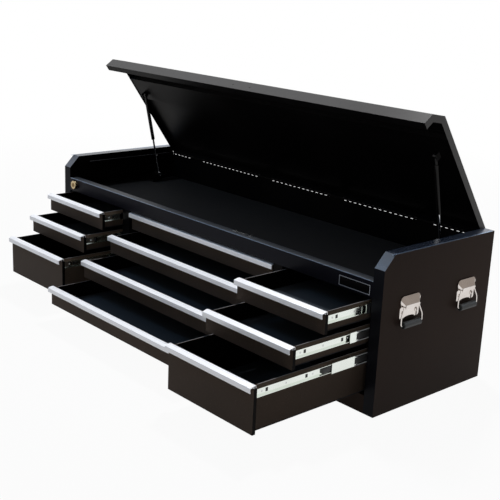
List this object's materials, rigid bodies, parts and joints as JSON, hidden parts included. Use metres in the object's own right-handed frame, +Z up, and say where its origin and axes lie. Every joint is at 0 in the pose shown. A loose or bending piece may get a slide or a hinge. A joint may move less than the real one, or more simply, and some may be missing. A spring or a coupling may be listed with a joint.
{
  "type": "machinist tool chest",
  "caption": "Long lid-top machinist tool chest with three columns of ball-bearing drawers, a top compartment, a strut-held hinged lid and side handles.",
  "frame": {"origin": "centre of the underside of the base", "axes": "+X along the length, to the right seen from the front; +Y to the rear; +Z up"},
  "size_m": [1.881, 1.073, 0.9442],
  "materials": {
    "black_steel": "satin powder coat",
    "lid_steel": "satin powder coat",
    "pull_aluminium": "ridged, anodised",
    "slide_zinc": "bright zinc",
    "mat_rubber": "textured",
    "strut_black": "gloss",
    "rod_chrome": "polished",
    "handle_nickel": "polished nickel",
    "lock_brass": "polished"
  },
  "bodies": {
    "chest": {"side_panels": "black_steel", "base_pan": "black_steel", "back_panel": "black_steel", "front_rail": "black_steel", "column_walls": "black_steel", "compartment_floor": "black_steel", "compartment_mat": "mat_rubber", "cabinet_slides": "slide_zinc", "body_hinge_leaves": "black_steel", "handle_plates": "handle_nickel", "lock_housing": "lock_brass"},
    "lid": {"lid_shell": "lid_steel", "lid_hinge_leaves": "lid_steel"},
    "strut_rods": {"strut_rods": "rod_chrome"},
    "strut_tubes": {"strut_tubes": "strut_black"},
    "lock_core": {"lock_core": "lock_brass"},
    "bail_left_front": {"bail_left_front": "handle_nickel"},
    "bail_left_rear": {"bail_left_rear": "handle_nickel"},
    "bail_right_front": {"bail_right_front": "handle_nickel"},
    "bail_right_rear": {"bail_right_rear": "handle_nickel"},
    "drawer_left_1": {"drawer_left_1": "black_steel", "pull_left_1": "pull_aluminium", "runners_left_1": "slide_zinc"},
    "sliders_left_1": {"sliders_left_1": "slide_zinc"},
    "drawer_left_2": {"drawer_left_2": "black_steel", "pull_left_2": "pull_aluminium", "runners_left_2": "slide_zinc"},
    "sliders_left_2": {"sliders_left_2": "slide_zinc"},
    "drawer_left_3": {"drawer_left_3": "black_steel", "pull_left_3": "pull_aluminium", "runners_left_3": "slide_zinc"},
    "sliders_left_3": {"sliders_left_3": "slide_zinc"},
    "drawer_centre_1": {"drawer_centre_1": "black_steel", "pull_centre_1": "pull_aluminium", "runners_centre_1": "slide_zinc"},
    "sliders_centre_1": {"sliders_centre_1": "slide_zinc"},
    "drawer_centre_2": {"drawer_centre_2": "black_steel", "pull_centre_2": "pull_aluminium", "runners_centre_2": "slide_zinc"},
    "sliders_centre_2": {"sliders_centre_2": "slide_zinc"},
    "drawer_centre_3": {"drawer_centre_3": "black_steel", "pull_centre_3": "pull_aluminium", "runners_centre_3": "slide_zinc"},
    "sliders_centre_3": {"sliders_centre_3": "slide_zinc"},
    "drawer_centre_4": {"drawer_centre_4": "black_steel", "pull_centre_4": "pull_aluminium", "runners_centre_4": "slide_zinc"},
    "sliders_centre_4": {"sliders_centre_4": "slide_zinc"},
    "drawer_right_1": {"drawer_right_1": "black_steel", "pull_right_1": "pull_aluminium", "runners_right_1": "slide_zinc"},
    "sliders_right_1": {"sliders_right_1": "slide_zinc"},
    "drawer_right_2": {"drawer_right_2": "black_steel", "pull_right_2": "pull_aluminium", "runners_right_2": "slide_zinc"},
    "sliders_right_2": {"sliders_right_2": "slide_zinc"},
    "drawer_right_3": {"drawer_right_3": "black_steel", "pull_right_3": "pull_aluminium", "runners_right_3": "slide_zinc"},
    "sliders_right_3": {"sliders_right_3": "slide_zinc"}
  },
  "joints": [
    {"name": "lid_hinge", "type": "hinge", "parent": "chest", "child": "lid", "pos_m": [0, 0.2735, 0.504], "axis": [1, 0, 0], "range_deg": [0, 54.4]},
    {"name": "strut_pivot", "type": "hinge", "parent": "chest", "child": "strut_rods", "pos_m": [0, 0.147, 0.4285], "axis": [1, 0, 0], "range_deg": [0, 59.58]},
    {"name": "strut_slide", "type": "slide", "parent": "strut_rods", "child": "strut_tubes", "axis": [0, 0.2195, -0.9756], "range_m": [0, 0.13236]},
    {"name": "drawer_left_1_slide", "type": "slide", "parent": "chest", "child": "drawer_left_1", "axis": [0, -1, 0], "range_m": [-0.109, 0.391]},
    {"name": "sliders_left_1_slide", "type": "slide", "parent": "chest", "child": "sliders_left_1", "axis": [0, -1, 0], "range_m": [-0.0545, 0.1955]},
    {"name": "drawer_left_2_slide", "type": "slide", "parent": "chest", "child": "drawer_left_2", "axis": [0, -1, 0], "range_m": [-0.196, 0.304]},
    {"name": "sliders_left_2_slide", "type": "slide", "parent": "chest", "child": "sliders_left_2", "axis": [0, -1, 0], "range_m": [-0.098, 0.152]},
    {"name": "drawer_left_3_slide", "type": "slide", "parent": "chest", "child": "drawer_left_3", "axis": [0, -1, 0], "range_m": [-0.296, 0.204]},
    {"name": "sliders_left_3_slide", "type": "slide", "parent": "chest", "child": "sliders_left_3", "axis": [0, -1, 0], "range_m": [-0.148, 0.102]},
    {"name": "drawer_centre_1_slide", "type": "slide", "parent": "chest", "child": "drawer_centre_1", "axis": [0, -1, 0], "range_m": [0, 0.5]},
    {"name": "sliders_centre_1_slide", "type": "slide", "parent": "chest", "child": "sliders_centre_1", "axis": [0, -1, 0], "range_m": [0, 0.25]},
    {"name": "drawer_centre_2_slide", "type": "slide", "parent": "chest", "child": "drawer_centre_2", "axis": [0, -1, 0], "range_m": [-0.103, 0.397]},
    {"name": "sliders_centre_2_slide", "type": "slide", "parent": "chest", "child": "sliders_centre_2", "axis": [0, -1, 0], "range_m": [-0.0515, 0.1985]},
    {"name": "drawer_centre_3_slide", "type": "slide", "parent": "chest", "child": "drawer_centre_3", "axis": [0, -1, 0], "range_m": [-0.226, 0.274]},
    {"name": "sliders_centre_3_slide", "type": "slide", "parent": "chest", "child": "sliders_centre_3", "axis": [0, -1, 0], "range_m": [-0.113, 0.137]},
    {"name": "drawer_centre_4_slide", "type": "slide", "parent": "chest", "child": "drawer_centre_4", "axis": [0, -1, 0], "range_m": [-0.374, 0.126]},
    {"name": "sliders_centre_4_slide", "type": "slide", "parent": "chest", "child": "sliders_centre_4", "axis": [0, -1, 0], "range_m": [-0.187, 0.063]},
    {"name": "drawer_right_1_slide", "type": "slide", "parent": "chest", "child": "drawer_right_1", "axis": [0, -1, 0], "range_m": [-0.213, 0.287]},
    {"name": "sliders_right_1_slide", "type": "slide", "parent": "chest", "child": "sliders_right_1", "axis": [0, -1, 0], "range_m": [-0.1065, 0.1435]},
    {"name": "drawer_right_2_slide", "type": "slide", "parent": "chest", "child": "drawer_right_2", "axis": [0, -1, 0], "range_m": [-0.341, 0.159]},
    {"name": "sliders_right_2_slide", "type": "slide", "parent": "chest", "child": "sliders_right_2", "axis": [0, -1, 0], "range_m": [-0.1705, 0.0795]},
    {"name": "drawer_right_3_slide", "type": "slide", "parent": "chest", "child": "drawer_right_3", "axis": [0, -1, 0], "range_m": [-0.488, 0.012]},
    {"name": "sliders_right_3_slide", "type": "slide", "parent": "chest", "child": "sliders_right_3", "axis": [0, -1, 0], "range_m": [-0.244, 0.006]},
    {"name": "bail_left_front_swing", "type": "hinge", "parent": "chest", "child": "bail_left_front", "pos_m": [-0.9245, -0.1465, 0.354], "axis": [0, 1, 0], "range_deg": [0, 90]},
    {"name": "bail_left_rear_swing", "type": "hinge", "parent": "chest", "child": "bail_left_rear", "pos_m": [-0.9245, 0.1465, 0.354], "axis": [0, 1, 0], "range_deg": [0, 90]},
    {"name": "bail_right_front_swing", "type": "hinge", "parent": "chest", "child": "bail_right_front", "pos_m": [0.9245, -0.1465, 0.354], "axis": [0, -1, 0], "range_deg": [0, 90]},
    {"name": "bail_right_rear_swing", "type": "hinge", "parent": "chest", "child": "bail_right_rear", "pos_m": [0.9245, 0.1465, 0.354], "axis": [0, -1, 0], "range_deg": [0, 90]},
    {"name": "lock_turn", "type": "hinge", "parent": "chest", "child": "lock_core", "pos_m": [-0.831, -0.28, 0.419], "axis": [0, 1, 0], "range_deg": [0, 90]}
  ],
  "couplings": [
    {"joint": "strut_pivot", "follows": "lid_hinge", "ratio": 1.0935},
    {"joint": "strut_slide", "follows": "lid_hinge", "m_per_rad": 0.13909},
    {"joint": "sliders_left_1_slide", "follows": "drawer_left_1_slide", "ratio": 0.5},
    {"joint": "sliders_left_2_slide", "follows": "drawer_left_2_slide", "ratio": 0.5},
    {"joint": "sliders_left_3_slide", "follows": "drawer_left_3_slide", "ratio": 0.5},
    {"joint": "sliders_centre_1_slide", "follows": "drawer_centre_1_slide", "ratio": 0.5},
    {"joint": "sliders_centre_2_slide", "follows": "drawer_centre_2_slide", "ratio": 0.5},
    {"joint": "sliders_centre_3_slide", "follows": "drawer_centre_3_slide", "ratio": 0.5},
    {"joint": "sliders_centre_4_slide", "follows": "drawer_centre_4_slide", "ratio": 0.5},
    {"joint": "sliders_right_1_slide", "follows": "drawer_right_1_slide", "ratio": 0.5},
    {"joint": "sliders_right_2_slide", "follows": "drawer_right_2_slide", "ratio": 0.5},
    {"joint": "sliders_right_3_slide", "follows": "drawer_right_3_slide", "ratio": 0.5}
  ]
}
